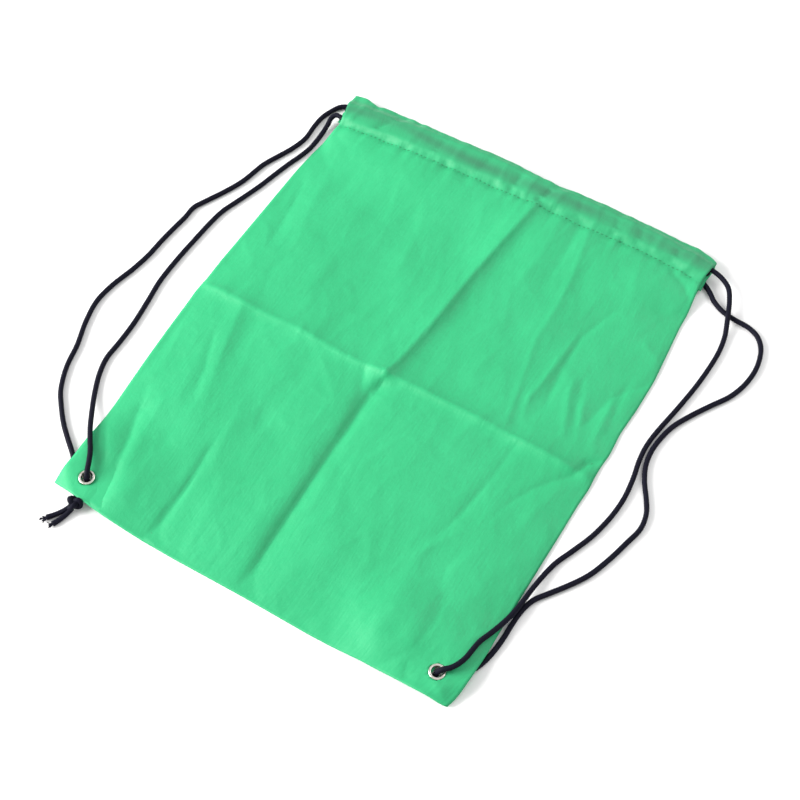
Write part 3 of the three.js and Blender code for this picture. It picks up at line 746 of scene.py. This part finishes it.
# ---- Eyelets ----
def lathe(name, centre, profile, material, steps=64):
    turn = 2 * math.pi * np.arange(steps) / steps
    profile = np.array(profile)
    x = centre[0] + profile[:, :1] * np.cos(turn)
    y = centre[1] + profile[:, :1] * np.sin(turn)
    z = np.broadcast_to(profile[:, 1:], x.shape)
    index = np.arange(x.size).reshape(x.shape)
    after = np.roll(index, -1, axis=1)
    below, below_after = np.roll(index, -1, axis=0), np.roll(after, -1, axis=0)
    faces = np.stack([index, after, below_after, below], -1).reshape(-1, 4)
    return make_mesh(name, np.stack([x, y, z], -1).reshape(-1, 3), faces, material)


def rounded(centre_r, centre_z, radius, start, end, count=6):
    angles = np.radians(np.linspace(start, end, count))
    return [(centre_r + radius * math.cos(a), centre_z + radius * math.sin(a)) for a in angles]


def eyelet(name, centre, cloth_z, material):
    """The flanged barrel, from the front: a domed rim that rolls into the hole."""
    top = cloth_z + 0.15
    roll = CORNER_LIFT - 1.0
    profile = (
        [(EYELET_HOLE_R, roll)]
        + [(EYELET_R - 1.0, roll - 0.3), (EYELET_R - 0.8, roll), (BARREL_R, roll + 0.1), (BARREL_R, top)]
        + [(EYELET_R - 0.2, top - 0.05)]
        + rounded(EYELET_R - 0.5, top + 0.35, 0.5, -30, 80)
        + rounded(EYELET_HOLE_R + 0.75, top + 0.2, 0.75, 100, 180)
    )
    return lathe(name, centre, profile[::-1], material)


def washer(name, centre, material):
    top = CORNER_LIFT - 0.15
    profile = [(BARREL_R + 0.2, top - 0.55), (EYELET_R, top - 0.55), (EYELET_R, top - 0.1),
               (EYELET_R - 0.2, top), (BARREL_R + 0.2, top)]
    return lathe(name, centre, profile, material)


# ---- Cords ----
def cord_piece(name, route, material):
    line = catmull_rom(route, CORD_STEP)
    points, faces = tube(line, CORD_R, CORD_SIDES, 0.075)
    return make_mesh(name, points, faces, material), line


def fray(start, direction, length, count, seed):
    """Loose fibres fanning out of a cut end."""
    parts = []
    heading = np.array(direction, float) / np.linalg.norm(direction)
    for i in range(count):
        spread = np.array([noise.noise(Vector((i * 3.7, seed, k))) for k in (0.5, 5.5, 9.5)])
        spread[2] *= 0.35
        tip = np.array(start) + heading * length * (0.7 + 0.5 * abs(spread[0])) + spread * 4.5
        tip[2] = max(tip[2], 0.45)
        root = np.array(start) + spread * 1.6 - heading * 1.5
        root[2] = max(root[2], 0.7)
        middle = (root + tip) / 2 + np.array([spread[1], spread[0], 0]) * 1.8
        middle[2] = max(middle[2], 0.6)
        line = catmull_rom([root, middle, tip], 1.0)
        parts.append(tube(line, np.linspace(0.6, 0.3, len(line)), 6))
    return parts


def knot(name, centre, radius, flatness, tails, material):
    """Two cord ends tied together: a thick overhand knot with its cut, fraying tails."""
    turn = np.linspace(0, 2 * math.pi, 90)
    x = np.sin(turn) + 1.55 * np.sin(2 * turn)
    y = np.cos(turn) - 1.55 * np.cos(2 * turn)
    loop = np.stack([x * radius / 2.55, y * radius / 2.55, -np.sin(3 * turn) * flatness], -1)
    parts = [tube(loop + np.array(centre), CORD_R * 1.02, CORD_SIDES, 0.06)]
    half_core = np.array([2.4, 0, 0])
    core = catmull_rom([np.array(centre) - half_core, np.array(centre) + half_core], 0.8)
    parts.append(tube(core, CORD_R * 1.1, 12))
    for seed, tail in enumerate(tails):
        line = catmull_rom(tail, 0.8)
        swell = 1 + 0.12 * smooth(0.6, 1, np.linspace(0, 1, len(line)))
        parts.append(tube(line, CORD_R * 0.94 * swell, CORD_SIDES, 0.07))
        parts += fray(line[-1], line[-1] - line[-3], 3.4, 24, 2.3 + seed * 4.1)
    points, faces = joined(parts)
    return make_mesh(name, points, faces, material)


# ---- Camera, light and floor ----
def add_camera():
    azimuth, elevation, distance = math.radians(30.7), math.radians(58.81), 1.384
    back = Vector((math.sin(azimuth) * math.cos(elevation), -math.cos(azimuth) * math.cos(elevation),
                   math.sin(elevation)))
    data = bpy.data.cameras.new("camera")
    data.lens = 81.0
    data.sensor_width = 36.0
    camera = bpy.data.objects.new("camera", data)
    camera.location = Vector((0.0151, -0.0193, 0)) + back * distance
    camera.rotation_euler = back.to_track_quat("Z", "Y").to_euler()
    bpy.context.collection.objects.link(camera)
    bpy.context.scene.camera = camera


def add_area(name, place, size, power, color=(1, 1, 1)):
    data = bpy.data.lights.new(name, "AREA")
    data.size = size
    data.energy = power
    data.color = color
    light = bpy.data.objects.new(name, data)
    light.location = place
    light.rotation_euler = Vector(place).to_track_quat("Z", "Y").to_euler()
    bpy.context.collection.objects.link(light)


def add_world(strength):
    world = bpy.data.worlds.new("studio")
    world.use_nodes = True
    background = world.node_tree.nodes["Background"]
    background.inputs["Color"].default_value = (1, 1, 1, 1)
    background.inputs["Strength"].default_value = strength
    bpy.context.scene.world = world


def add_floor():
    material, *_ = new_material("white_paper", (0.93, 0.93, 0.93), 0.9)
    size = 3000
    points = [(-size, -size, 0), (size, -size, 0), (size, size, 0), (-size, size, 0)]
    floor = make_mesh("floor", points, [(0, 1, 2, 3)], material, smooth_faces=False)


# ---- Placing the pieces ----
def hold(obj, slot, *nodes):
    """obj belongs to the bag's own body and stands for those CAD nodes."""
    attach(obj, "bag")
    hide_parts(*nodes)
    return obj


def between_layers(points):
    """Halfway between the front panel's points and the back panel under them."""
    return [(x, y, 0.5 * (z + back_rise(y) + float(lift(x, y)))) for x, y, z in points]


def body_column(body, share):
    return int(round((share + 1) / 2 * (body.shape[1] - 1)))


def stitch_paths(body):
    """The path of each row of stitches, and the CAD node that it stands for."""
    last_row = body.shape[0] - 1
    side_rows = np.linspace(int(last_row * 0.09), int(last_row * 0.93), 40).astype(int)
    left_path = between_layers(body[side_rows, body_column(body, -SIDE_SEAM_SHARE)])
    right_path = between_layers(body[side_rows, body_column(body, SIDE_SEAM_SHARE)])
    bottom_row = int(round(BOTTOM_SEAM_IN / STEP))
    bottom_columns = [body_column(body, share) for share in np.linspace(-0.78, 0.78, 36)]
    seam_path = body[-1, 3:-3:3] + np.array([0, 0, 0.12])
    back_path = [(x, BACK_SEAM_Y, BACK_RISE + 1.0) for x in np.linspace(-162, 162, 30)]
    return {
        "left_seam_stitches": (left_path, "left_seam_thread"),
        "right_seam_stitches": (right_path, "right_seam_thread"),
        "bottom_seam_stitches": (between_layers(body[bottom_row, bottom_columns]), "bottom_seam_thread"),
        "front_casing_stitches": (seam_path, "front_casing_thread"),
        "back_casing_stitches": (back_path, "back_casing_thread"),
    }


# ---- Assembly ----
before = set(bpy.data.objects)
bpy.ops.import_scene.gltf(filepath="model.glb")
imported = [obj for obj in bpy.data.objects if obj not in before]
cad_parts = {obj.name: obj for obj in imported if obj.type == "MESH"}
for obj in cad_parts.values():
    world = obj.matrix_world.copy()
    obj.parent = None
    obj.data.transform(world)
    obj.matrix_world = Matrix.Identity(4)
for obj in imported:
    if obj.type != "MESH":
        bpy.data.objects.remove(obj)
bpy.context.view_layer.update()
bpy.context.scene.view_settings.view_transform = "Standard"

cloth, cord_fibre = cloth_material(), cord_material()
thread, nickel = thread_material(), eyelet_material()

front, front_body = front_panel(cloth)
back = back_panel(cloth)
hold(front, "cloth", "front_panel")
hold(back, "cloth", "back_panel")

stitch_rows = [hold(stitch_row(name, path, thread), "thread", node)
               for name, (path, node) in stitch_paths(front_body).items()]

for side, centre in EYELETS.items():
    hold(eyelet(f"{side}_eyelet_rim", centre, CORNER_LIFT + 1.5, nickel), "eyelet_metal", f"{side}_eyelet")
    hold(washer(f"{side}_eyelet_ring", centre, nickel), "eyelet_metal", f"{side}_eyelet_washer")

left_cord, left_line = cord_piece("left_drawcord", LEFT_CORD, cord_fibre)
right_cord, right_line = cord_piece("right_drawcord", RIGHT_CORD, cord_fibre)
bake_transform(left_cord)
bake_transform(right_cord)
for obj, side in ((left_cord, "left"), (right_cord, "right")):
    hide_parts(*(f"{side}_cord_{part}" for part in
                       ("casing_run", "front_strand", "back_strand", "front_end", "back_end")))

for name, route in LEFT_ENDS.items():
    end, _ = cord_piece(name.replace("_end", "_tie"), route, cord_fibre)
    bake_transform(end)

left_tie = knot("left_cord_knot", LEFT_KNOT, 4.9, 1.9, [
    [(-146, -225, 4.4), (-149.5, -231, 3.0), (-153.5, -236.5, 2.3), (-157, -241, 2.3)],
    [(-144, -225.5, 4.4), (-145.5, -231.5, 3.0), (-147.5, -237.5, 2.3), (-149.8, -243, 2.3)],
], cord_fibre)
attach(left_tie, "left_knot")
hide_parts("left_knot")
right_tie = knot("right_cord_knot", RIGHT_KNOT, 4.2, 1.0, [
    [(111.5, -188.5, 3.2), (106.5, -191, 2.6), (102, -193.5, 2.3), (99, -195, 2.3)],
    [(112.5, -190, 3.2), (110, -194.5, 2.6), (107, -198, 2.3), (104, -200, 2.3)],
], cord_fibre)
hold(right_tie, "cord", "right_knot")

add_camera()
add_world(0.7)
add_area("key", (-2.5, -1.45, 1.35), 2.0, 225, (1.0, 0.99, 0.97))
add_area("back", (0.7, 1.3, 1.7), 1.2, 14)
add_floor()
